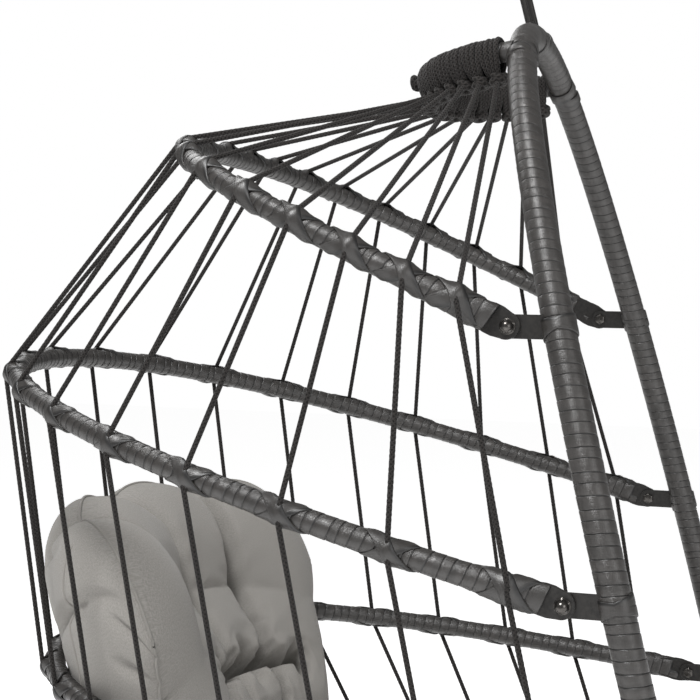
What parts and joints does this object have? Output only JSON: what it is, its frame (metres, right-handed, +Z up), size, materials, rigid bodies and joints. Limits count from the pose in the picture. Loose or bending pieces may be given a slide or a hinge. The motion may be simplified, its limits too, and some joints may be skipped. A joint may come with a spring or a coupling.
{
  "type": "hanging egg chair",
  "caption": "Hanging egg chair basket: wrapped tube ring, hinged U-hoops, rope strands, tufted seat and back cushions, steel hanging loop.",
  "frame": {"origin": "inside top of the steel hanging loop, where a hook bears", "axes": "+Z up, the open front of the basket faces -Y, left and right are -X and +X"},
  "size_m": [0.9131, 1.004, 1.3064],
  "materials": {
    "wrap": "flat ribbed polyethylene strip wound on tube, satin",
    "steel": "dark grey powder coat",
    "fixings": "zinc plated",
    "rope": "braided polyester cord",
    "fabric": "plain woven polyester, mid grey"
  },
  "bodies": {
    "front_frame": {"front_ring": "wrap", "hanging_loop": "steel", "crown_hoop": "wrap", "crown_lashing": "rope", "hinge_tab_1_left": "steel", "hinge_bolt_1_left": "fixings", "cap_nut_1_left": "fixings", "hinge_tab_1_right": "steel", "hinge_bolt_1_right": "fixings", "cap_nut_1_right": "fixings", "hinge_tab_2_left": "steel", "hinge_bolt_2_left": "fixings", "cap_nut_2_left": "fixings", "hinge_tab_2_right": "steel", "hinge_bolt_2_right": "fixings", "cap_nut_2_right": "fixings", "hinge_tab_3_left": "steel", "hinge_bolt_3_left": "fixings", "cap_nut_3_left": "fixings", "hinge_tab_3_right": "steel", "hinge_bolt_3_right": "fixings", "cap_nut_3_right": "fixings", "hinge_tab_4_left": "steel", "hinge_bolt_4_left": "fixings", "cap_nut_4_left": "fixings", "hinge_tab_4_right": "steel", "hinge_bolt_4_right": "fixings", "cap_nut_4_right": "fixings", "hinge_tab_5_left": "steel", "hinge_bolt_5_left": "fixings", "cap_nut_5_left": "fixings", "hinge_tab_5_right": "steel", "hinge_bolt_5_right": "fixings", "cap_nut_5_right": "fixings", "rope_01": "rope", "rope_02": "rope", "rope_03": "rope", "rope_04": "rope", "rope_05": "rope", "rope_06": "rope", "rope_07": "rope", "rope_08": "rope", "rope_09": "rope", "rope_10": "rope", "rope_11": "rope", "rope_12": "rope", "rope_13": "rope", "rope_14": "rope", "rope_15": "rope", "rope_16": "rope", "rope_17": "rope", "rope_18": "rope", "rope_19": "rope", "back_cushion": "fabric", "seat_cushion": "fabric"},
    "hoop_1": {"hoop_1": "wrap"},
    "hoop_2": {"hoop_2": "wrap"},
    "hoop_3": {"hoop_3": "wrap"},
    "hoop_4": {"hoop_4": "wrap"},
    "hoop_5": {"hoop_5": "wrap"}
  },
  "joints": [
    {"name": "hoop_1_fold", "type": "hinge", "parent": "front_frame", "child": "hoop_1", "pos_m": [0, -0.07132, -0.4631], "axis": [1, 0, 0], "range_deg": [0, 45], "deforming": ["rope_01", "rope_02", "rope_03", "rope_04", "rope_05", "rope_06", "rope_07", "rope_08", "rope_09", "rope_10", "rope_11", "rope_12", "rope_13", "rope_14", "rope_15", "rope_16", "rope_17", "rope_18", "rope_19", "back_cushion", "seat_cushion"]},
    {"name": "hoop_2_fold", "type": "hinge", "parent": "front_frame", "child": "hoop_2", "pos_m": [0, -0.14261, -0.7321], "axis": [1, 0, 0], "range_deg": [0, 50], "deforming": ["rope_01", "rope_02", "rope_03", "rope_04", "rope_05", "rope_06", "rope_07", "rope_08", "rope_09", "rope_10", "rope_11", "rope_12", "rope_13", "rope_14", "rope_15", "rope_16", "rope_17", "rope_18", "rope_19", "back_cushion", "seat_cushion"]},
    {"name": "hoop_3_fold", "type": "hinge", "parent": "front_frame", "child": "hoop_3", "pos_m": [0, -0.20992, -0.9861], "axis": [1, 0, 0], "range_deg": [0, 55], "deforming": ["rope_01", "rope_02", "rope_03", "rope_04", "rope_05", "rope_06", "rope_07", "rope_08", "rope_09", "rope_10", "rope_11", "rope_12", "rope_13", "rope_14", "rope_15", "rope_16", "rope_17", "rope_18", "rope_19", "back_cushion", "seat_cushion"]},
    {"name": "hoop_4_fold", "type": "hinge", "parent": "front_frame", "child": "hoop_4", "pos_m": [0, -0.25417, -1.1531], "axis": [1, 0, 0], "range_deg": [0, 60], "deforming": ["rope_01", "rope_02", "rope_03", "rope_04", "rope_05", "rope_06", "rope_07", "rope_08", "rope_09", "rope_10", "rope_11", "rope_12", "rope_13", "rope_14", "rope_15", "rope_16", "rope_17", "rope_18", "rope_19", "back_cushion", "seat_cushion"]},
    {"name": "hoop_5_fold", "type": "hinge", "parent": "front_frame", "child": "hoop_5", "pos_m": [0, -0.27484, -1.2311], "axis": [1, 0, 0], "range_deg": [0, 62], "deforming": ["rope_01", "rope_02", "rope_03", "rope_04", "rope_05", "rope_06", "rope_07", "rope_08", "rope_09", "rope_10", "rope_11", "rope_12", "rope_13", "rope_14", "rope_15", "rope_16", "rope_17", "rope_18", "rope_19", "back_cushion", "seat_cushion"]}
  ],
  "couplings": [
    {"joint": "hoop_1_fold", "follows": "hoop_2_fold", "ratio": 0.9},
    {"joint": "hoop_3_fold", "follows": "hoop_2_fold", "ratio": 1.1},
    {"joint": "hoop_4_fold", "follows": "hoop_2_fold", "ratio": 1.2},
    {"joint": "hoop_5_fold", "follows": "hoop_2_fold", "ratio": 1.24}
  ]
}
